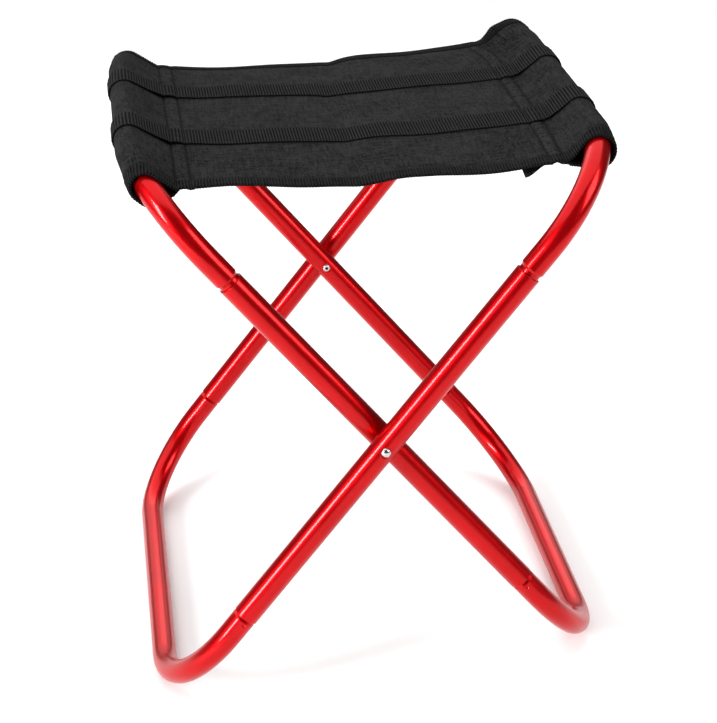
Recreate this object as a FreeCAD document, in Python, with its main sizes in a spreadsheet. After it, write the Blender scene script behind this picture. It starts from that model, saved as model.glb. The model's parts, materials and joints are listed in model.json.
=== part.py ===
"""Folding camp stool: two rounded tube frames crossed on a pair of rivets, with a fabric sling seat.

Axes: X runs across the seat from rail to rail, Y along the rails, Z up. Front is -Y.
The origin is on the floor under the middle of the seat.
Each frame is flat and its plane holds the pivot axis, which runs along Y.
The outer frame leans to +X at the top and the narrower inner frame to -X.
A frame is two straight side tubes with a bent rail plugged into each end:
the seat rail on top and the foot rail on the floor.
A frame's own Z runs up along its side tubes from the pivot axis, and its own Y is the stool's Y.
"""
import FreeCAD, Part
import math
import os
import re
import Sketcher

SIZES = [
    ("lean_angle", 39.2),              # how far each frame leans from upright, degrees
    ("rail_reach", 186),               # pivot axis to a rail's centreline, along the frame
    ("outer_half_width", 136),         # middle of the stool to the outer side tubes' centrelines
    ("frame_step", 14.3),              # outer side tube to inner side tube, centre to centre
    ("bend_radius", 54),               # centreline radius of every bend in a rail
    ("side_radius", 6.75),             # straight side tubes
    ("side_wall", 1.0),
    ("side_above", 116),               # pivot axis to a side tube's upper end
    ("side_below", 118),               # pivot axis to its lower end
    ("side_lip_round", 0.3),
    ("rail_radius", 6.5),              # bent rails
    ("rail_wall", 0.9),
    ("neck_radius", 5.73),             # swaged end of a rail, inside the side tube
    ("neck_wall", 0.85),
    ("neck_depth", 24),                # how far a neck goes into its side tube
    ("neck_taper", 1.4),               # length over which a neck swells to the full rail
    ("seat_neck_gap", 2.0),            # bare neck that shows above a side tube
    ("foot_neck_gap", 0.3),            # the same below it
    ("pit_radius", 1.6),               # ball-shaped stake pit in each leg of a foot rail
    ("pit_depth", 0.6),
    ("pit_drop", 3.0),                 # side tube's lower end to the pit's middle
    ("shank_radius", 1.6),             # rivets
    ("shank_play", 0.05),              # radial clearance in the inner tube's hole
    ("shank_fit", 0.02),               # the same in the outer tube and in the spacer
    ("head_radius", 2.6),
    ("head_height", 1.5),
    ("tail_radius", 2.2),
    ("tail_lip_radius", 1.7),
    ("tail_height", 1.0),
    ("tail_bore_radius", 1.0),
    ("tail_bore_depth", 2.6),
    ("spot_radius", 3.0),              # flat spots pressed into the tubes under a rivet's ends
    ("spot_depth", 0.5),
    ("spacer_radius", 4.5),
    ("turning_gap", 0.12),             # side play between parts that turn against each other
    ("cloth_half_width", 104),         # half of the sling along Y
    ("cloth_thickness", 1.2),
    ("sleeve_play", 0.35),             # rail surface to the inside of its sleeve
    ("sleeve_half_width", 100),
    ("sleeve_tail_half_width", 66),
    ("panel_half_length", 101),        # half of the panel between the sleeves' tails, along X
    ("panel_drop", 4),                 # rail centreline down to the panel's ends
    ("panel_sag", 4),                  # further drop at the middle of the panel
    ("cloth_gap", 0.1),                # between one layer of cloth and the next
    ("webbing_half_width", 10.5),
    ("webbing_thickness", 1.2),
    ("webbing_offset", 42.5),          # middle of the stool to the middle of a strap
    ("webbing_ring_gap", 0.3),         # sleeve to the strap's loop round it
    ("webbing_bite", 8.6),             # rail centreline to where a strap meets its own loop
    ("webbing_slot_far", 12),          # the slot in each loop that the sleeve's tail passes through:
    ("webbing_slot_near", 4),          # from and to, measured from the rail centreline
    ("binding_width", 10),
    ("binding_thickness", 0.8),
    ("binding_half_length", 100),
    ("thread_width", 0.7),
    ("thread_height", 0.4),
    ("seam_near_offset", 88),          # middle of the stool to a seam's first row of stitches
    ("seam_row_step", 8),              # that row to the next
    ("seam_end", 94),                  # how far a row reaches along Y
    ("stitch_clearance", 1),           # a strap's edge to the nearest stitch
    ("cut_overrun", 1),                # how far a cutting shape runs past what it cuts
]

DERIVED = [
    ("inner_half_width", "=outer_half_width - frame_step"),
    ("pivot_height", "=rail_reach * cos(lean_angle * 1deg) + rail_radius"),
    ("rail_across", "=rail_reach * sin(lean_angle * 1deg)"),
    ("rail_height", "=pivot_height + rail_reach * cos(lean_angle * 1deg)"),
    ("bend_start", "=rail_reach - bend_radius"),
    ("head_seat", "=outer_half_width + side_radius - spot_depth"),
    ("tail_seat", "=inner_half_width - side_radius + spot_depth - turning_gap"),
    ("spacer_outside", "=outer_half_width - side_radius"),
    ("spacer_inside", "=inner_half_width + side_radius + turning_gap"),
    ("sleeve_inside", "=rail_radius + sleeve_play"),
    ("sleeve_outside", "=sleeve_inside + cloth_thickness"),
    ("sleeve_middle", "=sleeve_inside + cloth_thickness / 2"),
    ("tail_root", "=sqrt(sleeve_middle ^ 2 - panel_drop ^ 2)"),
    ("ring_inside", "=sleeve_outside + webbing_ring_gap"),
    ("panel_radius", "=(panel_half_length ^ 2 + panel_sag ^ 2) / (2 * panel_sag)"),
    ("panel_centre", "=rail_height - panel_drop - panel_sag + panel_radius"),
    ("panel_top", "=panel_radius - cloth_thickness / 2"),
    ("webbing_under", "=panel_top - cloth_gap"),
]

doc = FreeCAD.newDocument("camp_stool")
sheet = doc.addObject("Spreadsheet::Sheet", "Sizes")
made = []


def fill_sheet():
    """Writes the driving sizes as plain numbers and the derived ones as formulas, all with aliases."""
    for row, (alias, content) in enumerate(SIZES + DERIVED, start=1):
        sheet.set(f"A{row}", alias)
        sheet.set(f"B{row}", str(content))
        sheet.setAlias(f"B{row}", alias)
    doc.recompute()


def cell(formula):
    """A formula on the sheet's names, as another object's expression has to write it."""
    return re.sub(r"[a-z]+(?:_[a-z]+)+", r"Sizes.\g<0>", formula)


def value(formula):
    """The present value of such a formula, as a first guess for a sketch."""
    result = sheet.evalExpression(cell(formula))
    return float(getattr(result, "Value", result))


# ---------------------------------------------------------------- bodies and sketches

UPRIGHT = "rotation(vector(0; 0; 1); 0)"
HALF_TURN = "rotation(vector(0; 0; 1); 180)"
OUTER_LEAN = "rotation(vector(0; 1; 0); lean_angle)"
INNER_LEAN = "rotation(vector(0; 0; 1); 180) * rotation(vector(0; 1; 0); lean_angle)"
UPSIDE_DOWN = " * rotation(vector(0; 1; 0); 180)"


def place(item, rotation=UPRIGHT, across="0", along="0", height="0"):
    """Binds an object's placement to the sheet."""
    base = f"vector({across}; {along}; {height})"
    item.setExpression("Placement", cell(f"placement({base}; {rotation})"))


def new_body(name, **where):
    body = doc.addObject("PartDesign::Body", name)
    body.Label = name
    place(body, **where)
    made.append(body)
    return body


def origin_plane(body, role):
    return next(item for item in body.Origin.OriginFeatures if item.Role == role)


def new_sketch(body, role, lift="0", slide="0", rise="0"):
    """A sketch on an origin plane, lifted along its normal and moved along its first and second axes."""
    sketch = body.newObject("Sketcher::SketchObject", f"{body.Name}_sketch")
    sketch.AttachmentSupport = (origin_plane(body, role), [""])
    sketch.MapMode = "FlatFace"
    sketch.setExpression("AttachmentOffset.Base.z", cell(lift))
    sketch.setExpression("AttachmentOffset.Base.x", cell(slide))
    sketch.setExpression("AttachmentOffset.Base.y", cell(rise))
    return sketch


def bind(sketch, formula, *constraint):
    """Adds a dimension to a sketch and ties it to the sheet."""
    index = sketch.addConstraint(Sketcher.Constraint(*constraint, value(formula)))
    sketch.setExpression(f"Constraints[{index}]", cell(formula))


def pin_point(sketch, edge, end, point):
    """Fixes a point of an edge at two formulas, measured from the sketch's origin."""
    for kind, axis, formula in (("DistanceX", -2, point[0]), ("DistanceY", -1, point[1])):
        if formula == "0":
            sketch.addConstraint(Sketcher.Constraint("PointOnObject", edge, end, axis))
        else:
            bind(sketch, formula, kind, -1, 1, edge, end)


def vector(point):
    return FreeCAD.Vector(value(point[0]), value(point[1]), 0)


def rounded(start, finish, radius, bulge):
    """An arc between two points that bulges to the left (1) or right (-1) of the way between them."""
    chord = finish - start
    away = max(radius ** 2 - (chord.Length / 2) ** 2, 0) ** 0.5
    left = FreeCAD.Vector(-chord.y, chord.x, 0).normalize()
    centre = (start + finish) / 2 - left * away * bulge
    first, second = (finish, start) if bulge > 0 else (start, finish)
    angles = [math.atan2(point.y - centre.y, point.x - centre.x) for point in (first, second)]
    if angles[1] < angles[0]:
        angles[1] += 2 * math.pi
    return Part.ArcOfCircle(Part.Circle(centre, FreeCAD.Vector(0, 0, 1), radius), *angles)


def draw(sketch, points, arcs=None, closed=True):
    """Draws a chain of edges through the points; arcs gives {edge number: (radius, bulge)}."""
    arcs = arcs or {}
    edges = len(points) if closed else len(points) - 1
    ends = []
    for number in range(edges):
        start, finish = vector(points[number]), vector(points[(number + 1) % len(points)])
        if number in arcs:
            radius, bulge = arcs[number]
            sketch.addGeometry(rounded(start, finish, value(radius), bulge), False)
            ends.append((2, 1) if bulge > 0 else (1, 2))
        else:
            sketch.addGeometry(Part.LineSegment(start, finish), False)
            ends.append((1, 2))
    for number in range(edges):
        pin_point(sketch, number, ends[number][0], points[number])
        if number + 1 < edges or closed:
            after = (number + 1) % edges
            sketch.addConstraint(Sketcher.Constraint(
                "Coincident", number, ends[number][1], after, ends[after][0]))
        else:
            pin_point(sketch, number, ends[number][1], points[number + 1])
        if number in arcs:
            bind(sketch, arcs[number][0], "Radius", number)


def draw_circle(sketch, radius, across="0", up="0"):
    centre = vector((across, up))
    edge = sketch.addGeometry(Part.Circle(centre, FreeCAD.Vector(0, 0, 1), value(radius)), False)
    bind(sketch, radius, "Radius", edge)
    pin_point(sketch, edge, 3, (across, up))


def draw_ring(sketch, outside, inside, across="0", up="0"):
    draw_circle(sketch, outside, across, up)
    draw_circle(sketch, inside, across, up)


# ---------------------------------------------------------------- features

def new_feature(body, kind, sketch):
    feature = body.newObject(f"PartDesign::{kind}", f"{body.Name}_{kind.lower()}")
    feature.Profile = sketch
    return feature


def pad(body, sketch, length, both_ways=True):
    """A pad of a whole length, half to each side of the sketch or all along its normal."""
    feature = new_feature(body, "Pad", sketch)
    feature.SideType = "Symmetric" if both_ways else "One side"
    feature.setExpression("Length", cell(length))
    return feature


def cut_through(body, sketch):
    feature = new_feature(body, "Pocket", sketch)
    feature.SideType = "Symmetric"
    feature.Type = "ThroughAll"
    return feature


def cut_deep(body, sketch, length, along_normal):
    """A pocket to one side: along the sketch's normal or against it."""
    feature = new_feature(body, "Pocket", sketch)
    feature.SideType = "One side"
    feature.Reversed = along_normal
    feature.setExpression("Length", cell(length))
    return feature


def turn(body, kind, sketch, axis, angle="360", backwards=False):
    """A revolution or a groove about one of the sketch's own axes."""
    feature = new_feature(body, kind, sketch)
    feature.ReferenceAxis = (sketch, [axis])
    feature.Reversed = backwards
    feature.setExpression("Angle", cell(angle))
    return feature


def sweep(body, section, path):
    feature = new_feature(body, "AdditivePipe", section)
    feature.Spine = (path, [f"Edge{number + 1}" for number in range(len(path.Geometry))])
    return feature


def mirror(body, feature):
    """The same feature again on the other side of the body's XZ plane."""
    copy = body.newObject("PartDesign::Mirrored", f"{body.Name}_mirrored")
    copy.Originals = [feature]
    copy.MirrorPlane = (origin_plane(body, "XZ_Plane"), [""])
    body.Tip = copy
    return copy


# ---------------------------------------------------------------- frames

def side_tube(name, lean, half_width, side, outward, play):
    """A straight tube with the pivot hole through it and a flat spot where the rivet bears.

    side is 1 or -1 along the frame's own Y, and outward says which way the flat spot faces:
    1 away from the middle of the stool, -1 towards it.
    """
    body = new_body(name, rotation=lean, height="pivot_height")
    section = new_sketch(body, "XY_Plane", lift="(side_above - side_below) / 2")
    draw_ring(section, "side_radius", "side_radius - side_wall", up=f"{side} * {half_width}")
    tube = pad(body, section, "side_above + side_below")
    doc.recompute()

    rims = [f"Edge{number}" for number, edge in enumerate(tube.Shape.Edges, start=1)
            if hasattr(edge.Curve, "Radius") and abs(edge.Curve.Radius - value("side_radius")) < 0.001]
    lip = body.newObject("PartDesign::Fillet", f"{name}_lip")
    lip.Base = (tube, rims)
    lip.setExpression("Radius", cell("side_lip_round"))

    hole = new_sketch(body, "XZ_Plane")
    draw_circle(hole, f"shank_radius + {play}")
    cut_through(body, hole)

    level = f"{side} * ({half_width} + {outward} * (side_radius - spot_depth))"
    spot = new_sketch(body, "XZ_Plane", lift=f"-({level})")
    draw_circle(spot, "spot_radius")
    cut_deep(body, spot, "side_radius", along_normal=side * outward < 0)


def rail_centreline(body, half_width, leg_start):
    """From the start of one leg round both bends to the start of the other."""
    path = new_sketch(body, "YZ_Plane")
    shoulder = f"({half_width} - bend_radius)"
    draw(path, [
        (f"-{half_width}", leg_start),
        (f"-{half_width}", "bend_start"),
        (f"-{shoulder}", "rail_reach"),
        (shoulder, "rail_reach"),
        (half_width, "bend_start"),
        (half_width, leg_start),
    ], arcs={1: ("bend_radius", 1), 3: ("bend_radius", 1)}, closed=False)
    return path


def bent_rail(name, lean, half_width, tube_end, neck_gap):
    """A round-cornered rail with a swaged neck on each leg that plugs into a side tube."""
    body = new_body(name, rotation=lean, height="pivot_height")
    neck_top = f"({tube_end} + {neck_gap})"
    leg_start = f"({neck_top} + neck_taper)"

    path = rail_centreline(body, half_width, leg_start)
    section = new_sketch(body, "XY_Plane", lift=leg_start)
    draw_ring(section, "rail_radius", "rail_radius - rail_wall", up=f"-{half_width}")
    sweep(body, section, path)

    neck = new_sketch(body, "YZ_Plane", slide=f"-{half_width}")
    draw(neck, [
        ("neck_radius - neck_wall", f"{tube_end} - neck_depth"),
        ("neck_radius", f"{tube_end} - neck_depth"),
        ("neck_radius", neck_top),
        ("rail_radius", leg_start),
        ("rail_radius - rail_wall", leg_start),
        ("neck_radius - neck_wall", neck_top),
    ])
    mirror(body, turn(body, "Revolution", neck, "V_Axis"))
    return body


def stake(body, half_width):
    """A ball-shaped pit in the outer face of each leg, just beyond the side tube's end."""
    ball_out = f"({half_width} + rail_radius - pit_depth + pit_radius)"
    pit = new_sketch(body, "YZ_Plane", slide=ball_out, rise="side_below + pit_drop")
    quarter = ("pit_radius", -1)
    outline = [("0", "-pit_radius"), ("pit_radius", "0"), ("0", "pit_radius")]
    draw(pit, outline, arcs={0: quarter, 1: quarter})
    mirror(body, turn(body, "Groove", pit, "V_Axis"))


def rivet(name, facing):
    """A domed rivet whose tail is rolled over around a blind bore."""
    body = new_body(name, rotation=facing, height="pivot_height")
    tail_end = "(tail_seat - tail_height)"
    bore_end = f"({tail_end} + tail_bore_depth)"
    dome = "(head_radius ^ 2 + head_height ^ 2) / (2 * head_height)"
    profile = new_sketch(body, "YZ_Plane")
    draw(profile, [
        (bore_end, "0"),
        (bore_end, "tail_bore_radius"),
        (tail_end, "tail_bore_radius"),
        (tail_end, "tail_lip_radius"),
        ("tail_seat", "tail_radius"),
        ("tail_seat", "shank_radius"),
        ("head_seat", "shank_radius"),
        ("head_seat", "head_radius"),
        ("head_seat + head_height", "0"),
    ], arcs={3: ("tail_height", 1), 7: (dome, 1)})
    turn(body, "Revolution", profile, "H_Axis")


def spacer(name, facing):
    """The washer that keeps a pair of side tubes apart at the pivot."""
    body = new_body(name, rotation=facing, height="pivot_height")
    section = new_sketch(body, "XZ_Plane", lift="-spacer_outside")
    draw_ring(section, "spacer_radius", "shank_radius + shank_fit")
    pad(body, section, "spacer_outside - spacer_inside", both_ways=False)


# ---------------------------------------------------------------- sling

def leaned(across, up):
    """A place given from a seat rail's centre, level with the floor, as the frame's own X and Z."""
    return (
        f"({across}) * cos(lean_angle * 1deg) - ({up}) * sin(lean_angle * 1deg)",
        f"rail_reach + ({across}) * sin(lean_angle * 1deg) + ({up}) * cos(lean_angle * 1deg)",
    )


def rail_sleeve(name, lean, half_width):
    """The cloth tube round a seat rail, with the hem that joins it to the panel."""
    body = new_body(name, rotation=lean, height="pivot_height")
    straight = new_sketch(body, "XZ_Plane")
    draw_ring(straight, "sleeve_outside", "sleeve_inside", up="rail_reach")
    pad(body, straight, f"2 * ({half_width} - bend_radius)")

    tail_end = "panel_half_length - rail_across"
    under, over = "-panel_drop - cloth_thickness / 2", "-panel_drop + cloth_thickness / 2"
    tail = new_sketch(body, "XZ_Plane")
    draw(tail, [
        leaned("-tail_root", under),
        leaned("-tail_root", over),
        leaned(tail_end, over),
        leaned(tail_end, under),
    ])
    pad(body, tail, "2 * sleeve_tail_half_width")

    shoulder = f"({half_width} - bend_radius)"
    bend = new_sketch(body, "XZ_Plane", lift=f"-{shoulder}", rise="bend_start")
    draw_ring(bend, "sleeve_outside", "sleeve_inside", up="bend_radius")
    reach = f"asin((sleeve_half_width - {shoulder}) / bend_radius)"
    mirror(body, turn(body, "Revolution", bend, "H_Axis", angle=reach, backwards=True))


def draw_band(sketch, half_length, top, bottom):
    """A strip that sags between two arcs about the panel's centre of curvature, with upright ends."""
    high = f"panel_centre - sqrt(({top}) ^ 2 - ({half_length}) ^ 2)"
    low = f"panel_centre - sqrt(({bottom}) ^ 2 - ({half_length}) ^ 2)"
    draw(sketch, [
        (f"-({half_length})", high),
        (half_length, high),
        (half_length, low),
        (f"-({half_length})", low),
    ], arcs={0: (top, -1), 2: (bottom, 1)})


def seat_panel():
    body = new_body("seat_panel")
    section = new_sketch(body, "XZ_Plane")
    draw_band(section, "panel_half_length", "panel_top", "panel_top + cloth_thickness")
    pad(body, section, "2 * cloth_half_width")


def webbing_strap(name, along):
    """A strap over the panel whose ends loop round the sleeves and back under their tails."""
    body = new_body(name, along=along)
    flat = new_sketch(body, "XZ_Plane")
    draw_band(flat, "rail_across - webbing_bite", "webbing_under - webbing_thickness", "webbing_under")
    pad(body, flat, "2 * webbing_half_width")
    for across in ("rail_across", "-rail_across"):
        loop = new_sketch(body, "XZ_Plane")
        draw_ring(loop, "ring_inside + webbing_thickness", "ring_inside", across=across, up="rail_height")
        pad(body, loop, "2 * webbing_half_width")
    low = "rail_height - panel_drop - cloth_thickness / 2 - cloth_gap"
    high = "rail_height - panel_drop + cloth_thickness / 2 + cloth_gap"
    for side in (1, -1):
        near, far = (f"{side} * (rail_across - webbing_slot_{end})" for end in ("near", "far"))
        slot = new_sketch(body, "XZ_Plane")
        draw(slot, [(near, low), (near, high), (far, high), (far, low)])
        cut_through(body, slot)


def edge_binding(name, facing, along):
    """Tape folded over the panel's edge: a channel, open towards the middle of the seat."""
    body = new_body(name, rotation=facing, along=along)
    outside = new_sketch(body, "XZ_Plane")
    draw_band(outside, "binding_half_length",
              "panel_top - cloth_gap - binding_thickness",
              "panel_top + cloth_thickness + cloth_gap + binding_thickness")
    pad(body, outside, "binding_width", both_ways=False)
    inside = new_sketch(body, "XZ_Plane", lift="binding_thickness")
    draw_band(inside, "binding_half_length + cut_overrun",
              "panel_top - cloth_gap", "panel_top + cloth_thickness + cloth_gap")
    cut_deep(body, inside, "binding_width", along_normal=True)


def seam(name, side):
    """Two rows of stitches, each broken where a strap covers it, as one group of solids."""
    strap_far = "(webbing_offset + webbing_half_width + stitch_clearance)"
    strap_near = "(webbing_offset - webbing_half_width - stitch_clearance)"
    spans = [("-seam_end", f"-{strap_far}"), (f"-{strap_near}", strap_near), (strap_far, "seam_end")]
    rows = []
    for row in range(2):
        offset = f"(seam_near_offset + {row} * seam_row_step)"
        for low, high in spans:
            stitches = doc.addObject("Part::Box", f"{name}_row")
            stitches.setExpression("Length", cell("thread_width"))
            stitches.setExpression("Width", cell(f"{high} - ({low})"))
            stitches.setExpression("Height", cell("thread_height"))
            level = f"panel_centre - sqrt(panel_top ^ 2 - {offset} ^ 2) + cloth_gap"
            place(stitches, across=f"{side} * {offset} - thread_width / 2", along=low, height=level)
            rows.append(stitches)
    group = doc.addObject("Part::Compound", name)
    group.Label = name
    group.Links = rows
    made.append(group)


# ---------------------------------------------------------------- the stool

def build():
    fill_sheet()
    side_tube("outer_side_tube_front", OUTER_LEAN, "outer_half_width", -1, 1, "shank_fit")
    side_tube("outer_side_tube_rear", OUTER_LEAN, "outer_half_width", 1, 1, "shank_fit")
    side_tube("inner_side_tube_front", INNER_LEAN, "inner_half_width", 1, -1, "shank_play")
    side_tube("inner_side_tube_rear", INNER_LEAN, "inner_half_width", -1, -1, "shank_play")
    for frame, lean in (("outer", OUTER_LEAN), ("inner", INNER_LEAN)):
        half_width = f"{frame}_half_width"
        bent_rail(f"{frame}_seat_rail", lean, half_width, "side_above", "seat_neck_gap")
        upside_down = lean + UPSIDE_DOWN
        foot = bent_rail(f"{frame}_foot_rail", upside_down, half_width, "side_below", "foot_neck_gap")
        stake(foot, half_width)
    for end, facing in (("front", HALF_TURN), ("rear", UPRIGHT)):
        rivet(f"pivot_rivet_{end}", facing)
        spacer(f"pivot_spacer_{end}", facing)

    seat_panel()
    rail_sleeve("right_rail_sleeve", OUTER_LEAN, "outer_half_width")
    rail_sleeve("left_rail_sleeve", INNER_LEAN, "inner_half_width")
    webbing_strap("webbing_strap_front", "-webbing_offset")
    webbing_strap("webbing_strap_rear", "webbing_offset")
    edge = "(cloth_half_width + cloth_gap + binding_thickness)"
    edge_binding("edge_binding_front", HALF_TURN, f"-{edge}")
    edge_binding("edge_binding_rear", UPRIGHT, edge)
    seam("left_seam_stitching", -1)
    seam("right_seam_stitching", 1)
    doc.recompute()


def check():
    """Stops the script if anything in the document failed or a sub-part's shape is unusable."""
    for item in doc.Objects:
        if {"Invalid", "Error"} & set(item.State):
            raise RuntimeError(f"{item.Name} failed to compute")
    for item in made:
        if item.Shape.isNull() or not item.Shape.isValid():
            raise RuntimeError(f"{item.Label} has no valid shape")


def export():
    os.makedirs("parts", exist_ok=True)
    for item in made:
        item.Shape.exportStep(f"parts/{item.Label}.step")
        print(f"{item.Label}: {len(item.Shape.Solids)} solid, {item.Shape.Volume:.1f} mm3")


build()
check()
export()
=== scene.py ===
"""Camp stool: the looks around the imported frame.

The tubes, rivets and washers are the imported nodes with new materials. Everything sewn is made here:
one sheet of cloth that runs from a hem, round one seat rail, across the seat, round the other rail to
its hem; two straps that follow the same way round; tape bound over both long edges; and the stitches.

Lengths are in millimetres until a mesh is made. Positions come from the frame.
"""
import json
import math
import bpy
import numpy as np
from mathutils import Matrix, Vector


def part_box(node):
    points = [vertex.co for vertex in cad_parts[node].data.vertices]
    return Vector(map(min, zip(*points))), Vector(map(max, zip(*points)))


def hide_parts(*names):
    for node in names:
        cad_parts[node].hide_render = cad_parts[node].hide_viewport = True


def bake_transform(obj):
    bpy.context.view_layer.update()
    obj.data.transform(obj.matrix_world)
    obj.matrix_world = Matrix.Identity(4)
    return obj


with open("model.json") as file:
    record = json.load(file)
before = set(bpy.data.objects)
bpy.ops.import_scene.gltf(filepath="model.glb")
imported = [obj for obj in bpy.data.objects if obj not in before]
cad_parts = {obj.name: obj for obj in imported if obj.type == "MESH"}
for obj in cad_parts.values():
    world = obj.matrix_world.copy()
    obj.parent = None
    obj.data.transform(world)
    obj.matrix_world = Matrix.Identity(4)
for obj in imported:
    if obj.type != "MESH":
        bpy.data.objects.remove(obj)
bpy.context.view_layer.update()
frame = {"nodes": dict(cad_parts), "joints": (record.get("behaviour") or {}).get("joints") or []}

MM = 0.001

# ---------------------------------------------------------------- sizes taken from the frame

RAIL_RADIUS = 6.5
BEND_RADIUS = 54.0            # centreline radius of a rail's bends
pivot_height = frame["joints"][0]["pos_m"][2] / MM
outer_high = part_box("outer_seat_rail")[1] / MM
inner_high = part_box("inner_seat_rail")[1] / MM
rail_across = outer_high.x - RAIL_RADIUS
rail_height = outer_high.z - RAIL_RADIUS
half_width = {1: outer_high.y - RAIL_RADIUS, -1: inner_high.y - RAIL_RADIUS}
lean = math.atan2(rail_across, rail_height - pivot_height)

# ---------------------------------------------------------------- the sling's own sizes

# A key of -1 is the left side (-X) or the front end (-Y), and 1 is the right side or the rear end.
CLOTH_HALF = 104.0            # half of the cloth along the rails
CLOTH_THICK = 0.9
SLEEVE_RADIUS = {-1: 7.05, 1: 7.3}  # middle of the cloth round each rail
SEAM_REACH = {-1: 98.0, 1: 102.0}   # middle of the seat to where each sleeve closes
SEAM_PULL = {(1, 1): 6.5}     # how much nearer the middle it closes at a mouth, by side and end
MOUTH_FROM = 62.0             # distance from the middle along Y at which a sleeve's mouth begins
HEM_LENGTH = {-1: 14.0, 1: 24.0}
HEM_INSET = 7.0               # the hems end this much short of the cloth's long edges
HEM_GAP = 1.25                # seat's middle surface to the hem's
FLAP_DROP = 2.6               # the right hem's front corner has come loose and hangs down
SEAM_ROWS = {-1: (89.0, 96.5), 1: (91.0, 98.0)}  # middle of the seat to each seam's rows of stitches
STITCH_SINK = 0.55            # how deep a row of stitches sinks into the cloth
STITCH_SINK_REACH = 1.2
PUCKER_RISE = 0.30            # how far the cloth puffs up between two rows
PUCKER_REACH = 2.4
TAPE_THICK = 0.35
TAPE_WIDTH = 8.0
TAPE_FROM = 16.0              # distance from a long edge at which the layers part for the tape
TAPE_ROOM = 0.45              # how much wider the tape makes a sleeve
TAPE_HEM_ROOM = 1.5           # how much further it holds the hem off the seat
STRAP_AT = {-1: -41.5, 1: 39.5}     # middle of each strap along Y
STRAP_HALF = 10.5             # half of a strap's width
STRAP_THICK = 0.95
STRAP_CURL = 0.3              # how far a strap's edges stand off the cloth
STRAP_BRIDGE = 0.9            # how far it stands off where it bridges the bend beside a sleeve
STRAP_WANDER = 0.35           # how far a strap strays from its straight line
RIB_PITCH = 1.55
STRAP_RIB = 0.30              # height of the ribs on the webbing
TAPE_RIB = 0.12               # and on the tape
STITCH_LENGTH = 2.6
STITCH_PITCH = 3.6
STITCH_RADIUS = 0.32

# How the sleeve sits at each of its four mouths, by side and end, against the straight rail: how far its
# middle has moved inwards and down, how much wider it is than where it is tight on the rail, and how far
# it is drawn out towards the seat.
MOUTHS = {
    (-1, -1): (6.0, 8.3, 0.0, 0.0),
    (1, -1): (2.4, 4.2, 0.9, 0.0),
    (-1, 1): (4.0, 5.0, 0.2, 0.0),
    (1, 1): (5.6, 0.6, 2.1, 7.0),
}

# Depth of the seat's surface below the rails' centrelines where the straps lie, and how much further each
# long edge hangs, at points across the seat.
SEAT_AT = (-100, -75, -50, -25, 0, 15, 30, 50, 75, 100)
SEAT_DEPTH = (3.6, 5.6, 6.4, 7.2, 7.4, 7.3, 7.0, 6.2, 5.6, 3.6)
EDGE_DROP = {
    -1: (6.3, 4.2, 4.7, 5.4, 5.6, 3.8, 4.2, 5.5, 4.6, 3.8),
    1: (2.5, 4.0, 4.1, 3.0, 2.3, 1.0, 0.6, 0.7, -0.6, -1.7),
}
EDGE_FROM = 32.0              # distance from the middle at which an edge begins to hang
EDGE_POWER = 1.9              # how late it hangs on its way out

# The fold line left across the middle of the seat, from the front edge to the rear.
CREASE_DEPTH = 2.1
CREASE_AT = -6.0              # its place along X
CREASE_LEAN = 10.0            # how far it strays towards +X at the rear edge
CREASE_ROUND = 2.0            # how round its bottom is
CREASE_WIDTH = 9.0
CREASE_NARROWS = 3.0          # how much narrower it is at the rear edge
CREASE_FADE = 0.5             # the share of its depth that is lost at the front edge
CREASE_STEADY = 20.0          # it keeps its middle's shape as far as this along Y


# ---------------------------------------------------------------- small helpers

def smooth(value, low, high):
    """0 below low, 1 above high, and an even S between them."""
    t = np.clip((value - low) / (high - low), 0, 1)
    return t * t * (3 - 2 * t)


def curve_through(x, at, heights):
    """A smooth curve through a few points, level with its neighbours' slope at each."""
    at, heights = np.array(at, float), np.array(heights, float)
    slope = np.gradient(heights, at)
    x = np.clip(x, at[0], at[-1])
    k = np.clip(np.searchsorted(at, x) - 1, 0, len(at) - 2)
    span = at[k + 1] - at[k]
    t = (x - at[k]) / span
    return ((1 + 2 * t) * (1 - t) ** 2 * heights[k] + t * (1 - t) ** 2 * span * slope[k]
            + t * t * (3 - 2 * t) * heights[k + 1] + t * t * (t - 1) * span * slope[k + 1])


def length_along(points):
    """How far along a polyline each of its points lies."""
    steps = np.linalg.norm(np.diff(points, axis=0), axis=1)
    return np.concatenate([[0], np.cumsum(steps)])


def resampled(points, count):
    """The same polyline with its points evenly spaced."""
    length = length_along(points)
    even = np.linspace(0, length[-1], count)
    return np.stack([np.interp(even, length, points[:, axis]) for axis in range(points.shape[1])], axis=1)


# ---------------------------------------------------------------- the sling's middle surface

def seat_depth(x, y):
    """How far the seat's surface lies below the rails' centrelines."""
    side = 1 if y > 0 else -1
    hang = ((np.abs(y) - EDGE_FROM).clip(0) / (CLOTH_HALF - EDGE_FROM)) ** EDGE_POWER
    waves = 0.30 * np.sin(x / 15 + y / 34) + 0.22 * np.sin(x / 8.3 - y / 21 + 1.2)
    waves *= smooth(np.abs(y), 8, 40) * (1 - smooth(np.abs(x), 70, 98))
    rearward = smooth(y, CREASE_STEADY, CLOTH_HALF)
    forward = smooth(-y, CREASE_STEADY, CLOTH_HALF)
    from_crease = np.sqrt((x - CREASE_AT - CREASE_LEAN * rearward) ** 2 + CREASE_ROUND ** 2)
    crease = CREASE_DEPTH * np.exp(-from_crease / (CREASE_WIDTH - CREASE_NARROWS * rearward))
    crease *= 1 - CREASE_FADE * forward
    middle = curve_through(x, SEAT_AT, SEAT_DEPTH)
    edge = curve_through(x, SEAT_AT, EDGE_DROP[side]) * hang
    return middle + edge + waves + crease


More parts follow.
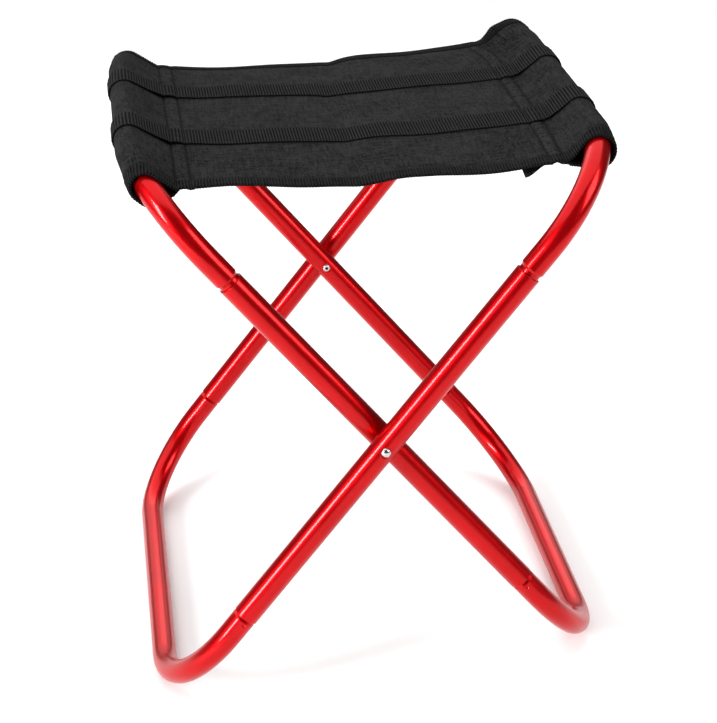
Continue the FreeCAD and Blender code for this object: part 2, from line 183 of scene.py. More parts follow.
def seam_dimple(x, y):
    """The pull of the stitches along the seams, with small puckers between the rows."""
    side = 1 if x > 0 else -1
    near, far = SEAM_ROWS[side]
    sink = sum(STITCH_SINK * math.exp(-((abs(x) - row) / STITCH_SINK_REACH) ** 2) for row in (near, far))
    rise = PUCKER_RISE * math.exp(-((abs(x) - (near + far) / 2) / PUCKER_REACH) ** 2)
    uneven_sink = 1 + 0.25 * math.sin(y / 1.3)
    uneven_rise = 0.5 + 0.5 * math.sin(y / 1.1 + 2 * math.sin(y / 9))
    return sink * uneven_sink - rise * uneven_rise


def seam_reach(side, y):
    """Middle of the seat to where a sleeve closes, at y."""
    pull = SEAM_PULL.get((side, 1 if y > 0 else -1), 0)
    return SEAM_REACH[side] - pull * smooth(abs(y), MOUTH_FROM, CLOTH_HALF)


def layer_gap(y):
    """Between the seat's surface and the hem's: the tape lies between them near the edges."""
    return HEM_GAP + TAPE_HEM_ROOM * smooth(abs(y), CLOTH_HALF - TAPE_FROM, CLOTH_HALF - 10)


def rail_drop(side, y):
    """How far a seat rail's centreline has come down its own frame at y."""
    past = max(0.0, abs(y) - (half_width[side] - BEND_RADIUS))
    return BEND_RADIUS - math.sqrt(BEND_RADIUS ** 2 - past ** 2)


def sleeve_loop(side, y, count):
    """One slice of a sleeve, from its seam over the rail and back under it, as outward and upward lengths
    from the straight rail: the tightest band round the rail, the sleeve's own circle and the seam."""
    end = 1 if y > 0 else -1
    inward, down, wider, drawn = MOUTHS[side, end]
    share = (max(0.0, abs(y) - MOUTH_FROM) / (CLOTH_HALF - MOUTH_FROM)) ** 2
    tape_room = TAPE_ROOM * smooth(abs(y), CLOTH_HALF - TAPE_FROM, CLOTH_HALF - 9)
    drop = rail_drop(side, y)
    reach = seam_reach(side, y)
    seam_radius = layer_gap(y) / 2
    seam = (reach - rail_across, -seat_depth(side * reach, y) - seam_radius, seam_radius)
    own = (-inward * share, -down * share, SLEEVE_RADIUS[side] + tape_room + wider * share)
    rail = (-drop * math.sin(lean), -drop * math.cos(lean), SLEEVE_RADIUS[side] + tape_room)
    shoulder = (own[0] - drawn * share, own[1] - 0.1 * drawn * share, rail[2])

    turn = np.linspace(0, 2 * math.pi, 720, endpoint=False)
    facing = np.stack([np.cos(turn), np.sin(turn)], axis=1)
    discs = (seam, own, rail, shoulder)
    support = np.max([facing @ (np.array(disc[:2]) - own[:2]) + disc[2] for disc in discs], axis=0)
    upper = math.atan2(seam[1] + seam_radius - own[1], seam[0] - own[0]) % (2 * math.pi)
    lower = math.atan2(seam[1] - seam_radius - own[1], seam[0] - own[0]) % (2 * math.pi) - 2 * math.pi
    way = np.linspace(upper, lower, 500)
    across = np.cos(way[:, None] - turn[None, :])
    outside = np.min(np.where(across > 0.02, support / np.maximum(across, 0.02), np.inf), axis=1)
    points = np.stack([own[0] + outside * np.cos(way), own[1] + outside * np.sin(way)], axis=1)
    return resampled(points, count)


# The surface is a grid: columns run along the way across, rows lie along Y and closer near the edges.
LOOP_POINTS = 50
HEM_POINTS = 11
PANEL_POINTS = 164
PANEL_FIRST = HEM_POINTS + LOOP_POINTS
PANEL_LAST = PANEL_FIRST + PANEL_POINTS
COLUMNS = 2 * PANEL_FIRST + PANEL_POINTS
ROWS = np.concatenate([
    np.linspace(-CLOTH_HALF, -88, 13), np.linspace(-86.5, 86.5, 121), np.linspace(88, CLOTH_HALF, 13)])
MIDDLE_ROW = len(ROWS) // 2


def slice_of_sling(y):
    """The whole way across at y, from the left hem's end to the right hem's end, as x and z."""
    halves = {}
    for side in (-1, 1):
        loop = sleeve_loop(side, y, LOOP_POINTS)
        loop_x = side * (rail_across + loop[:, 0])
        loop_z = rail_height + loop[:, 1]
        reach = seam_reach(side, y)
        hem_x = side * np.linspace(reach, reach - HEM_LENGTH[side], HEM_POINTS + 1)[1:]
        hem_z = np.array([rail_height - seat_depth(x, y) - layer_gap(y) for x in hem_x])
        halves[side] = (np.concatenate([loop_x, hem_x]), np.concatenate([loop_z, hem_z]))
    panel_x = np.linspace(-seam_reach(-1, y), seam_reach(1, y), PANEL_POINTS + 2)[1:-1]
    panel_z = np.array([rail_height - seat_depth(x, y) for x in panel_x])
    x = np.concatenate([halves[-1][0][::-1], panel_x, halves[1][0]])
    z = np.concatenate([halves[-1][1][::-1], panel_z, halves[1][1]])
    return x, z


def eased(x, z):
    """Rounds the creases where the sleeves meet the seat and the hems."""
    seat_creases = [(PANEL_FIRST, 4, 5), (PANEL_LAST, 4, 5)]
    hem_creases = [(HEM_POINTS, 3, 3), (COLUMNS - HEM_POINTS, 3, 3)]
    for crease, passes, spread in seat_creases + hem_creases:
        near = slice(crease - spread, crease + spread)
        before = slice(crease - spread - 1, crease + spread - 1)
        after = slice(crease - spread + 1, crease + spread + 1)
        for _ in range(passes):
            for line in (x, z):
                line[near] = (line[before] + 2 * line[near] + line[after]) / 4
    return x, z


def hem_shape(y):
    """For each column at y: the share of the hem's inset, and how far the loose corner hangs."""
    columns = np.arange(COLUMNS)
    into_left = np.clip((HEM_POINTS - columns) / 3, 0, 1)
    into_right = np.clip((columns - (COLUMNS - 1 - HEM_POINTS)) / 3, 0, 1)
    corner = smooth(columns, COLUMNS - 7, COLUMNS - 1) * smooth(-y, CLOTH_HALF - 15, CLOTH_HALF - 2)
    return np.maximum(into_left, into_right) * (1 - 0.95 * corner), corner * FLAP_DROP


def make_surface():
    """The sling's middle surface as a grid of points and outward normals: rows along Y, columns across."""
    points = []
    for y in ROWS:
        x, z = eased(*slice_of_sling(y))
        z = z - np.array([seam_dimple(value, y) for value in x])
        tucked, loose = hem_shape(y)
        points.append(np.stack([x, y * (1 - tucked * HEM_INSET / CLOTH_HALF), z - loose], axis=1))
    points = np.array(points)
    along = np.gradient(points, axis=0)
    across = np.gradient(points, axis=1)
    normals = np.cross(across, along)
    normals /= np.linalg.norm(normals, axis=2, keepdims=True)
    return points, normals


surface, outward = make_surface()


def on_surface(column, y):
    """Points and normals of the middle surface at fractional columns and places along Y."""
    row = np.interp(y, ROWS, np.arange(len(ROWS)))
    column, row = np.broadcast_arrays(np.asarray(column, float), np.asarray(row, float))
    c0 = np.clip(column.astype(int), 0, COLUMNS - 2)
    r0 = np.clip(row.astype(int), 0, len(ROWS) - 2)
    cf, rf = (column - c0)[..., None], (row - r0)[..., None]
    found = []
    for grid in (surface, outward):
        top = grid[r0, c0] * (1 - cf) + grid[r0, c0 + 1] * cf
        bottom = grid[r0 + 1, c0] * (1 - cf) + grid[r0 + 1, c0 + 1] * cf
        found.append(top * (1 - rf) + bottom * rf)
    return found


def stations(y, pitch, first=0.0, last=COLUMNS - 1.0):
    """Evenly spaced fractional columns along the slice at y, and their lengths along it."""
    columns = np.linspace(first, last, 2000)
    length = length_along(on_surface(columns, y)[0])
    even = np.linspace(0, length[-1], int(length[-1] / pitch) + 1)
    return np.interp(even, length, columns), even


# ---------------------------------------------------------------- meshes

def new_piece(name, points, faces):
    """A smoothly shaded piece from points in millimetres and its faces."""
    mesh = bpy.data.meshes.new(name)
    mesh.from_pydata((points * MM).tolist(), [], faces)
    mesh.polygons.foreach_set("use_smooth", np.ones(len(faces), bool))
    mesh.update()
    piece = bpy.data.objects.new(name, mesh)
    bpy.context.scene.collection.objects.link(piece)
    return piece


def band_mesh(name, loops, lengths, widths):
    """A closed band: loops of points one after another along it, with flat ends.

    Each loop goes out over the band's upper side and back under its lower one. lengths and widths are
    each point's place in the flat cloth, for the weave.
    """
    count, around = loops.shape[:2]
    index = np.arange(count * around).reshape(count, around)
    ahead = np.roll(index, -1, axis=1)
    faces = np.stack([index[:-1], ahead[:-1], ahead[1:], index[1:]], axis=-1).reshape(-1, 4)
    half = around // 2
    near = np.arange(half - 1)
    cap = np.stack([near, around - 1 - near, around - 2 - near, near + 1], axis=1)
    faces = np.concatenate([faces, cap, cap[:, ::-1] + index[-1, 0]])
    piece = new_piece(name, loops.reshape(-1, 3), faces.tolist())
    flat = np.stack([lengths, widths], axis=-1).reshape(-1, 2) * MM
    layer = piece.data.uv_layers.new(name="flat")
    layer.data.foreach_set("uv", flat[faces.reshape(-1)].astype(np.float32).reshape(-1))
    return piece


def make_cloth():
    """The sheet of cloth, and how long it is laid flat."""
    half = CLOTH_THICK / 2
    upper = surface + outward * half
    lower = surface - outward * half
    loops = np.concatenate([upper, lower[::-1]], axis=0).transpose(1, 0, 2)
    length = length_along(surface[MIDDLE_ROW])
    lengths = np.repeat(length[:, None], loops.shape[1], axis=1)
    widths = np.repeat(np.concatenate([ROWS, ROWS[::-1]])[None, :], loops.shape[0], axis=0)
    return band_mesh("sling_cloth", loops, lengths, widths), length[-1]


def seam_lengths():
    """How far along the flat cloth each seam's two stitched rows lie."""
    line = surface[MIDDLE_ROW]
    panel = slice(PANEL_FIRST, PANEL_LAST)
    across = line[panel, 0]
    length = length_along(line)[panel]
    return [[float(np.interp(side * row, across, length)) for row in SEAM_ROWS[side]] for side in (-1, 1)]


def make_strap(name, middle):
    """Ribbed webbing that follows the cloth all the way round, with plain selvedges."""
    column, length = stations(middle, RIB_PITCH / 5)
    across = STRAP_HALF * np.sin(np.linspace(-math.pi / 2, math.pi / 2, 17))
    wander = STRAP_WANDER * (np.sin(length / 27 + middle) + 0.6 * np.sin(length / 9.5))
    points, normals = on_surface(column[:, None], middle + across[None, :] + wander[:, None])
    ribbed = 1 - smooth(np.abs(across), STRAP_HALF - 1.2, STRAP_HALF - 0.4)
    rib = STRAP_RIB * np.cos(2 * math.pi * length[:, None] / RIB_PITCH) * ribbed[None, :]
    curled = 1 + 0.6 * np.sin(length / 19 + 2 * middle) + 0.4 * np.sin(length / 7.3)
    curl = STRAP_CURL * curled[:, None] * smooth(np.abs(across), STRAP_HALF - 3.0, STRAP_HALF)[None, :]
    bridge = STRAP_BRIDGE * sum(np.exp(-((column - bend) / 6) ** 2) for bend in (PANEL_FIRST, PANEL_LAST))
    lift = 0.08 + CLOTH_THICK / 2 + bridge[:, None]
    upper = points + normals * (lift + STRAP_THICK + rib)[..., None]
    lower = points + normals * (lift + curl)[..., None]
    loops = np.concatenate([upper, lower[:, ::-1]], axis=1)
    widths = np.concatenate([across, across[::-1]])[None, :].repeat(len(column), axis=0)
    lengths = length[:, None].repeat(loops.shape[1], axis=1)
    return band_mesh(name, loops, lengths, widths)


def make_binding(name, end):
    """Ribbed tape folded over one long edge of the cloth, round both mouths."""
    first, last = HEM_POINTS - 0.5, COLUMNS - 0.5 - HEM_POINTS
    edge = end * CLOTH_HALF
    column, length = stations(edge, RIB_PITCH / 5, first, last)
    inset = np.linspace(TAPE_WIDTH, 0.3, 9)
    rib = TAPE_RIB * np.cos(2 * math.pi * length / RIB_PITCH)
    thin = 1 - smooth(inset, TAPE_WIDTH - 2.5, TAPE_WIDTH)

    def side_of(thickness):
        """The tape's upper and lower sides and its nose, at a distance from its inner face."""
        flank, flank_normal = on_surface(column[:, None], (edge - end * inset)[None, :])
        nose, nose_normal = on_surface(column[:, None], np.full((1, 5), edge))
        base = CLOTH_THICK / 2 + 0.06
        height = (base + thickness[:, None] * (0.3 + 0.7 * thin[None, :]))[..., None]
        turn = np.linspace(90, -90, 5)[None, :, None] * math.pi / 180
        out = np.array([0, end, 0.0])
        tip_height = base + thickness[:, None, None]
        tip = nose + nose_normal * np.sin(turn) * tip_height + out * np.cos(turn) * tip_height
        return np.concatenate([
            flank + flank_normal * height, tip, (flank - flank_normal * height)[:, ::-1]], axis=1)

    outer = side_of(TAPE_THICK + rib)
    inner = side_of(np.zeros(len(column)))
    loops = np.concatenate([outer, inner[:, ::-1]], axis=1)
    if end > 0:
        loops = loops[:, ::-1]
    across = np.linspace(-TAPE_WIDTH, TAPE_WIDTH, outer.shape[1])
    widths = np.concatenate([across, across[::-1]])[None, :].repeat(len(column), axis=0)
    lengths = length[:, None].repeat(loops.shape[1], axis=1)
    return band_mesh(name, loops, lengths, widths)


def stitch_mesh(name, places):
    """Short rounded stitches. places gives each one's middle, its direction and the surface's normal."""
    rings, around = 5, 8
    turn = np.arange(around) * 2 * math.pi / around
    along = np.linspace(-1, 1, rings)
    swell = np.sqrt(np.clip(1 - along ** 2, 0.12, 1))
    vertices, faces = [], []
    for middle, direction, normal in places:
        side = np.cross(direction, normal)
        base = len(vertices) * rings * around
        body = (middle + direction * (along * STITCH_LENGTH / 2)[:, None, None]
                + (side * np.cos(turn)[:, None] + normal * np.sin(turn)[:, None])[None]
                * (STITCH_RADIUS * swell)[:, None, None]
                - normal * (0.16 * along ** 2)[:, None, None])
        vertices.append(body.reshape(-1, 3))
        for ring in range(rings - 1):
            for k in range(around):
                a, b = base + ring * around + k, base + ring * around + (k + 1) % around
                faces.append((a, b, b + around, a + around))
        faces.append(tuple(base + k for k in reversed(range(around))))
        faces.append(tuple(base + (rings - 1) * around + k for k in range(around)))
    return new_piece(name, np.concatenate(vertices), faces)


def seam_places(side):
    """Both rows of a seam, above and below the cloth, broken where the straps cover them."""
    places = []
    columns = np.arange(PANEL_FIRST, PANEL_LAST)
    reach = CLOTH_HALF - TAPE_WIDTH - 1.5
    for row in SEAM_ROWS[side]:
        column = np.interp(side * row, surface[MIDDLE_ROW, columns, 0], columns)
        for y in np.arange(-reach, reach, STITCH_PITCH):
            if min(abs(y - middle) for middle in STRAP_AT.values()) < STRAP_HALF + 1:
                continue
            ends, normal = on_surface(np.full(2, column), np.array([y - 1, y + 1]))
            direction = (ends[1] - ends[0]) / np.linalg.norm(ends[1] - ends[0])
            middle = ends.mean(axis=0) + normal[0] * (CLOTH_THICK / 2 + 0.08)
            under = ends.mean(axis=0) - normal[0] * (CLOTH_THICK / 2 + layer_gap(y) + 0.08)
            places += [(middle, direction, normal[0]), (under, direction, -normal[0])]
    return places


def tape_places(end):
    """One row of stitches along the tape, near its inner edge, above and below."""
    edge_row = end * (CLOTH_HALF - TAPE_WIDTH + 1.6)
    column, _ = stations(edge_row, STITCH_PITCH, HEM_POINTS + 1.0, COLUMNS - 2.0 - HEM_POINTS)
    points, normals = on_surface(column, np.full(len(column), edge_row))
    ahead = np.gradient(points, axis=0)
    ahead /= np.linalg.norm(ahead, axis=1, keepdims=True)
    lift = CLOTH_THICK / 2 + TAPE_THICK - 0.1
    places = []
    for point, direction, normal in zip(points, ahead, normals):
        places += [(point + normal * lift, direction, normal), (point - normal * lift, direction, -normal)]
    return places


# ---------------------------------------------------------------- materials

class Nodes:
    """A material's node tree, with short ways to add and join nodes."""

    def __init__(self, name):
        self.material = bpy.data.materials.new(name)
        self.material.use_nodes = True
        self.tree = self.material.node_tree
        self.shader = self.tree.nodes["Principled BSDF"]

    def add(self, kind, inputs=None, **settings):
        node = self.tree.nodes.new(kind)
        for key, setting in settings.items():
            setattr(node, key, setting)
        for key, item in (inputs or {}).items():
            self.set(node.inputs[key], item)
        return node

    def set(self, socket, item):
        if isinstance(item, bpy.types.NodeSocket):
            self.tree.links.new(item, socket)
        else:
            socket.default_value = item

    def math(self, operation, first, second=0.0, third=0.0):
        node = self.add("ShaderNodeMath", {0: first, 1: second, 2: third}, operation=operation)
        return node.outputs[0]

    def noise(self, place, scale, detail=3.0, roughness=0.5):
        return self.add("ShaderNodeTexNoise", {
            "Vector": place, "Scale": scale, "Detail": detail, "Roughness": roughness}).outputs["Fac"]

    def stretched(self, place, scale, rotation=(0, 0, 0)):
        """The place turned, then scaled along its axes."""
        turned = self.add("ShaderNodeMapping", {"Vector": place, "Rotation": rotation}).outputs[0]
        return self.add("ShaderNodeMapping", {"Vector": turned, "Scale": scale}).outputs[0]

    def ramp(self, value, stops):
        node = self.add("ShaderNodeValToRGB", {"Fac": value})
        ramp = node.color_ramp
        while len(ramp.elements) < len(stops):
            ramp.elements.new(0.5)
        for element, (position, colour) in zip(ramp.elements, stops):
            element.position = position
            element.color = (*colour, 1)
        return node.outputs["Color"]

    def spread(self, value, low, high, to_low, to_high):
        node = self.add("ShaderNodeMapRange", {
            "Value": value, "From Min": low, "From Max": high, "To Min": to_low, "To Max": to_high})
        return node.outputs["Result"]

    def bump(self, height, distance, strength=1.0, normal=None):
        inputs = {"Height": height, "Distance": distance, "Strength": strength}
        if normal is not None:
            inputs["Normal"] = normal
        return self.add("ShaderNodeBump", inputs).outputs["Normal"]

    def finish(self, **inputs):
        for key, item in inputs.items():
            self.set(self.shader.inputs[key.replace("_", " ")], item)
        return self.material


def anodised(name, tilt):
    """Red anodised tube: fine drawn lines along the straight tubes, faint cloudiness, small scuffs."""
    n = Nodes(name)
    place = n.add("ShaderNodeTexCoord").outputs["Object"]
    lines = n.noise(n.stretched(place, (900, 900, 12), (0, tilt, 0)), 1.0, 4.0, 0.6)
    clouds = n.noise(place, 38.0, 4.0, 0.6)
    grain = n.noise(place, 2600.0, 2.0)
    scuffs = n.noise(n.stretched(place, (260, 90, 260), (0.5, tilt, 0.3)), 1.0, 5.0, 0.7)
    worn = n.spread(scuffs, 0.70, 0.80, 0.0, 1.0)
    red = n.ramp(clouds, [(0.30, (0.43, 0.0005, 0.0018)), (0.70, (0.52, 0.0010, 0.0032))])
    colour = n.add("ShaderNodeMix", {
        "Factor": n.math("MULTIPLY", worn, 0.20), "A": red, "B": (0.80, 0.10, 0.10, 1)},
        data_type="RGBA").outputs["Result"]
    mixed = n.math("ADD", n.math("MULTIPLY", lines, 0.6), n.math("MULTIPLY", clouds, 0.4))
    rough = n.spread(mixed, 0.3, 0.7, 0.28, 0.38)
    rough = n.math("ADD", rough, n.math("MULTIPLY", worn, 0.12))
    height = n.math("ADD", n.math("MULTIPLY", lines, 0.7), n.math("MULTIPLY", grain, 0.3))
    return n.finish(Base_Color=colour, Metallic=0.8, Roughness=rough, Coat_Weight=0.27, Coat_Roughness=0.14,
                    Specular_IOR_Level=0.1, Normal=n.bump(height, 0.00001, 0.5))


def polished(name):
    """Rivet steel, polished, with fine swirls and a few darker pits."""
    n = Nodes(name)
    place = n.add("ShaderNodeTexCoord").outputs["Object"]
    swirl = n.noise(place, 1500.0, 3.0)
    pits = n.noise(place, 700.0, 4.0, 0.7)
    colour = n.ramp(pits, [
        (0.30, (0.26, 0.25, 0.24)), (0.48, (0.58, 0.57, 0.57)), (1.0, (0.66, 0.65, 0.65))])
    return n.finish(Base_Color=colour, Metallic=1.0, Roughness=n.spread(swirl, 0.3, 0.7, 0.14, 0.30),
                    Normal=n.bump(swirl, 0.00003, 0.5))


def washer(name):
    """Black plastic with a fine moulded grain."""
    n = Nodes(name)
    place = n.add("ShaderNodeTexCoord").outputs["Object"]
    grain = n.noise(place, 1800.0, 3.0)
    colour = n.ramp(n.noise(place, 200.0), [(0.3, (0.018, 0.018, 0.019)), (0.7, (0.032, 0.032, 0.034))])
    return n.finish(Base_Color=colour, Roughness=n.spread(grain, 0.3, 0.7, 0.45, 0.65),
                    Normal=n.bump(grain, 0.00003, 0.6))


def woven(name, pitch, tint, contrast, sheen, rib_shade=0.0, edge=None, seams=()):
    """Coated plain weave: crossing threads, uneven yarn, soft wear, pale scuffs and a few pale fibres.

    pitch is between threads. rib_shade paints shade into the valleys between a ribbed piece's ribs.
    edge is where a strap's or a tape's long edges lie, how wide the painted shade line along them is and
    how dark. seams are the pairs of stitched rows, painted shade where they sink in and rubbed pale
    between.
    """
    n = Nodes(name)
    flat = n.add("ShaderNodeTexCoord").outputs["UV"]
    split = n.add("ShaderNodeSeparateXYZ", {"Vector": flat})
    turns = 2 * math.pi / (pitch * MM)
    wobble = n.math("MULTIPLY", n.noise(flat, 260.0, 2.0), 2.4)
    warp = n.math("SINE", n.math("MULTIPLY_ADD", split.outputs["X"], turns / 2, wobble))
    weft = n.math("SINE", n.math("MULTIPLY_ADD", split.outputs["Y"], turns / 2, wobble))
    crossing = n.math("MULTIPLY", warp, weft)
    yarn_warp = n.noise(n.stretched(flat, (1900, 60, 1)), 1.0, 2.0)
    yarn_weft = n.noise(n.stretched(flat, (60, 1900, 1)), 1.0, 2.0)
    yarn = n.math("ADD", n.math("MULTIPLY", yarn_warp, 0.5), n.math("MULTIPLY", yarn_weft, 0.5))
    wear = n.noise(flat, 34.0, 5.0, 0.62)
    mottle = n.noise(flat, 800.0, 2.0, 0.6)
    fibres = n.noise(n.stretched(flat, (520, 1400, 1), (0, 0, 0.6)), 1.0, 3.0)
    fibre = n.spread(fibres, 0.70, 0.78, 0.0, 1.0)
    streaks_across = n.noise(n.stretched(flat, (110, 480, 1)), 1.0, 3.0)
    streaks_along = n.noise(n.stretched(flat, (480, 110, 1)), 1.0, 3.0)
    streaks = n.math("MULTIPLY", n.math("ADD", streaks_across, streaks_along), 0.5)
    tone = n.math("ADD", n.math("MULTIPLY", yarn, 0.28), n.math("MULTIPLY", wear, 0.17))
    tone = n.math("ADD", tone, n.math("MULTIPLY", streaks, 0.28))
    tone = n.math("ADD", tone, n.math("MULTIPLY", mottle, 0.29))
    tone = n.math("MULTIPLY_ADD", crossing, 0.04, tone)
    if rib_shade:
        rib = n.math("COSINE", n.math("MULTIPLY", split.outputs["X"], 2 * math.pi / (RIB_PITCH * MM)))
        tone = n.math("MULTIPLY_ADD", rib, rib_shade, tone)
    low = tuple(part * (1 - contrast) for part in tint)
    high = tuple(part * (1 + contrast) for part in tint)
    base = n.ramp(tone, [(0.44, low), (0.56, high)])
    scuffed = n.spread(n.noise(flat, 95.0, 6.0, 0.75), 0.54, 0.68, 0.0, 1.0)
    specks = n.spread(n.noise(flat, 1300.0, 3.0, 0.7), 0.50, 0.62, 0.0, 1.0)
    pale = tuple(min(1.0, part * 3.4) for part in tint)
    flecks = n.math("MULTIPLY", n.math("MULTIPLY", scuffed, specks), 0.75)
    pale_share = n.math("MAXIMUM", n.math("MULTIPLY", fibre, 0.5), flecks)
    rubbed = n.spread(n.noise(flat, 520.0, 5.0, 0.75), 0.50, 0.62, 0.0, 0.50)
    painted_groove_shade = 0.0
    for near, far in seams:
        half = abs(far - near) / 2
        from_middle = n.math("ABSOLUTE", n.math("SUBTRACT", split.outputs["X"], (near + far) / 2 * MM))
        between = n.spread(from_middle, (half - 1.4) * MM, (half - 0.4) * MM, 1.0, 0.0)
        pale_share = n.math("MAXIMUM", pale_share, n.math("MULTIPLY", between, rubbed))
        # painted shade in the grooves where the stitched rows sink into the cloth
        from_row = n.math("ABSOLUTE", n.math("SUBTRACT", from_middle, half * MM))
        painted_groove_shade = n.math("MAXIMUM", painted_groove_shade, n.spread(from_row, 0.25 * MM, 1.3 * MM, 0.65, 0.0))
    colour = n.add("ShaderNodeMix", {"Factor": pale_share, "A": base, "B": (*pale, 1)},
                   data_type="RGBA").outputs["Result"]
    # the painted groove shade darkens the colour along each stitched row
    if seams:
        colour = n.add("ShaderNodeMix", {"Factor": painted_groove_shade, "A": colour, "B": (0.001, 0.001, 0.001, 1)},
                       data_type="RGBA").outputs["Result"]
    # painted shade along a strap's or a tape's long edges, where the edge stands off the cloth and its side
    # is in shade
    if edge:
        edge_at, line, share = edge
        from_middle = n.math("ABSOLUTE", split.outputs["Y"])
        shade = n.spread(from_middle, (edge_at - line) * MM, edge_at * MM, 0.0, share)
        colour = n.add("ShaderNodeMix", {"Factor": shade, "A": colour, "B": (0.002, 0.002, 0.002, 1)},
                       data_type="RGBA").outputs["Result"]
    height = n.math("MULTIPLY_ADD", crossing, 0.5, n.math("MULTIPLY", yarn, 0.9))
    height = n.math("ADD", height, n.math("MULTIPLY", mottle, 0.5))
    rough = n.spread(wear, 0.3, 0.7, 0.84, 0.96)
    return n.finish(Base_Color=colour, Roughness=rough, Sheen_Weight=sheen, Sheen_Roughness=0.5,
                    Specular_IOR_Level=0.03, Normal=n.bump(height, 0.00016, 0.9))


def thread(name):
    """Twisted sewing thread."""
    n = Nodes(name)
    place = n.add("ShaderNodeTexCoord").outputs["Object"]
    twist = n.noise(n.stretched(place, (2500, 900, 2500), (0.6, 0.4, 0)), 1.0, 2.0)
    colour = n.ramp(twist, [(0.3, (0.004, 0.004, 0.0042)), (0.7, (0.014, 0.014, 0.0142))])
    return n.finish(Base_Color=colour, Roughness=n.spread(twist, 0.3, 0.7, 0.75, 0.9),
                    Specular_IOR_Level=0.05, Normal=n.bump(twist, 0.00005, 0.8))


def give(piece, material):
    """Makes a material the piece's only one."""
    piece.data.materials.clear()
    piece.data.materials.append(material)


# ---------------------------------------------------------------- the pieces


def sew(piece, material, slot, *nodes):
    """Finishes a sewn piece: gives it its material, hides the frame's solids it stands for and bakes its
    place.
    """
    give(piece, material)
    if nodes:
        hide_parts(*nodes)
    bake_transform(piece)
    return piece


def make_sling():
    """Everything sewn, each piece standing for its plain solids in the frame."""
    # the webbing gets painted shade in the valleys between its ribs and a painted shade line 0.3 mm wide
    # along both edges
    webbing_finish = woven("charcoal_webbing", 0.45, (0.0090, 0.0090, 0.0091), 0.90, 0.01, 0.14,
                           (STRAP_HALF, 0.3, 0.38))
    # painted shade along each tape's inner edges, in a wider line on the rear tape than on the front one
    painted_shade_lines = {"front": 0.8, "rear": 4.5}
    tape_finishes = {
        word: woven(f"charcoal_tape_{word}", 0.40, (0.0062, 0.0062, 0.0063), 0.95, 0.01, 0.08,
                    (TAPE_WIDTH, line, 0.85))
        for word, line in painted_shade_lines.items()}
    thread_finish = thread("charcoal_thread")

    cloth, length = make_cloth()
    cloth_finish = woven("charcoal_cloth", 0.62, (0.0103, 0.0103, 0.0104), 0.95, 0.01, seams=seam_lengths())
    sew(cloth, cloth_finish, "seat_cloth", "seat_panel", "left_rail_sleeve", "right_rail_sleeve")
    for end, word in ((-1, "front"), (1, "rear")):
        strap = make_strap(f"seat_strap_{word}", STRAP_AT[end])
        sew(strap, webbing_finish, "webbing", f"webbing_strap_{word}")
        tape = make_binding(f"edge_tape_{word}", end)
        sew(tape, tape_finishes[word], "binding", f"edge_binding_{word}")
        sew(stitch_mesh(f"tape_stitches_{word}", tape_places(end)), thread_finish, "thread")
    for side, word in ((-1, "left"), (1, "right")):
        stitches = stitch_mesh(f"seam_stitches_{word}", seam_places(side))
        sew(stitches, thread_finish, "thread", f"{word}_seam_stitching")
    print(f"cloth {2 * CLOTH_HALF:.0f} x {length:.0f} mm")


def finish_metal():
    """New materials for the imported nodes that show: tubes, rails, rivets and washers."""
    finishes = {
        "outer": anodised("red_anodised_outer", -lean),
        "inner": anodised("red_anodised_inner", lean)}
    steel = polished("rivet_steel")
    black = washer("washer_plastic")
    for name, node in frame["nodes"].items():
        if name.startswith("pivot_rivet"):
            give(node, steel)
        elif name.startswith("pivot_spacer"):
            give(node, black)
        elif "tube" in name or name.endswith(("seat_rail", "foot_rail")):
            give(node, finishes[name.split("_")[0]])


# ---------------------------------------------------------------- studio

FLOOR_HALF = 1.15             # metres, as is everything from here on
LIT_POINT = (0, 0, 0.16)      # what every lamp points at
UNSEEN_WORLD = 0.08           # the white surroundings' strength, except where the camera sees them


def area_light(name, place, size, power):
    """A soft rectangular lamp that points at the stool and isn't seen itself."""
    light = bpy.data.lights.new(name, "AREA")
    light.shape = "RECTANGLE"
    light.size, light.size_y = size
    light.energy = power
    lamp = bpy.data.objects.new(name, light)
    lamp.location = place
    lamp.rotation_euler = (Vector(LIT_POINT) - Vector(place)).to_track_quat("-Z", "Y").to_euler()
    lamp.visible_camera = False
    bpy.context.scene.collection.objects.link(lamp)


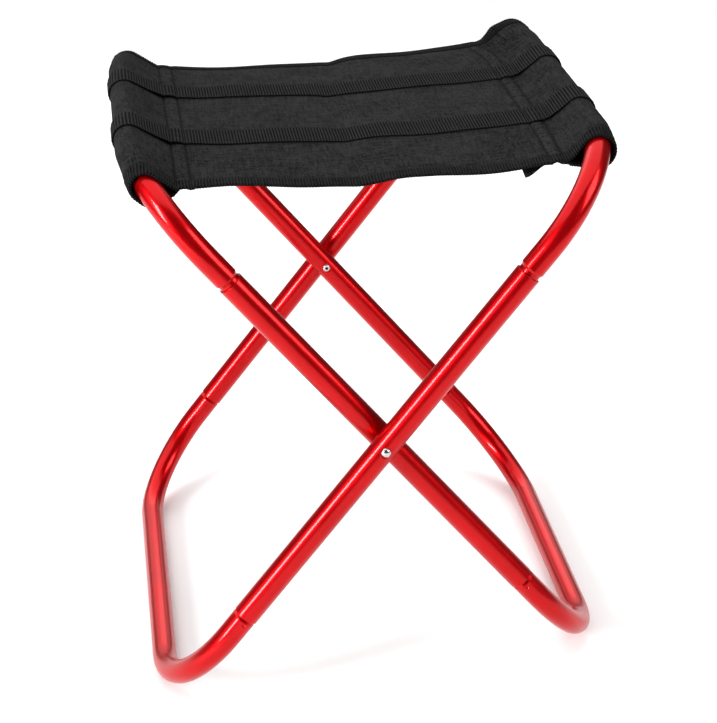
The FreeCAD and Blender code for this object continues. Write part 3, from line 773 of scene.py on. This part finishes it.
def make_studio():
    """White surroundings, a pale floor and four softboxes."""
    scene = bpy.context.scene
    scene.view_settings.view_transform = "Standard"
    world = bpy.data.worlds.new("studio")
    scene.world = world
    world.use_nodes = True
    tree = world.node_tree
    seen = tree.nodes.new("ShaderNodeLightPath").outputs["Is Camera Ray"]
    strength = tree.nodes.new("ShaderNodeMapRange")
    strength.inputs["To Min"].default_value = UNSEEN_WORLD
    strength.inputs["To Max"].default_value = 1.0
    tree.links.new(seen, strength.inputs["Value"])
    tree.links.new(strength.outputs["Result"], tree.nodes["Background"].inputs["Strength"])
    tree.nodes["Background"].inputs["Color"].default_value = (1, 1, 1, 1)

    mesh = bpy.data.meshes.new("floor")
    corners = [(FLOOR_HALF * x, FLOOR_HALF * y, 0) for x, y in ((-1, -1), (1, -1), (1, 1), (-1, 1))]
    mesh.from_pydata(corners, [], [(0, 1, 2, 3)])
    floor = bpy.data.objects.new("floor", mesh)
    scene.collection.objects.link(floor)
    n = Nodes("pale_floor")
    place = n.add("ShaderNodeTexCoord").outputs["Object"]
    tone = n.ramp(n.noise(place, 3.0), [(0.3, (0.90, 0.90, 0.90)), (0.7, (0.93, 0.93, 0.93))])
    give(floor, n.finish(Base_Color=tone, Roughness=0.8))

    area_light("softbox_left", (-1.34, -0.85, 0.62), (0.3, 0.75), 38)
    area_light("softbox_right", (1.35, -0.8, 1.1), (0.9, 1.1), 19)
    area_light("softbox_top", (-0.2, 0.5, 1.75), (3.2, 3.2), 57)
    area_light("softbox_rear", (0.0, 2.0, 1.15), (3.0, 1.4), 14)


def make_camera():
    """The eye stands in front, a little to the left and above, and looks slightly down."""
    place = Vector((-0.1264, -1.0629, 0.6198))
    yaw, pitch, roll = 0.1225, 0.4228, -0.0225
    forward = Vector((math.sin(yaw) * math.cos(pitch), math.cos(yaw) * math.cos(pitch), -math.sin(pitch)))
    level = Vector((math.cos(yaw), -math.sin(yaw), 0))
    upright = level.cross(forward)
    right = math.cos(roll) * level + math.sin(roll) * upright
    up = -math.sin(roll) * level + math.cos(roll) * upright
    camera = bpy.data.objects.new("camera", bpy.data.cameras.new("camera"))
    camera.data.sensor_width = 36
    camera.data.lens = 102.49
    camera.data.clip_start = 0.05
    turn = Matrix((right, up, -forward)).transposed().to_4x4()
    camera.matrix_world = Matrix.Translation(place) @ turn
    bpy.context.scene.collection.objects.link(camera)
    bpy.context.scene.camera = camera


make_camera()
make_studio()
finish_metal()
make_sling()
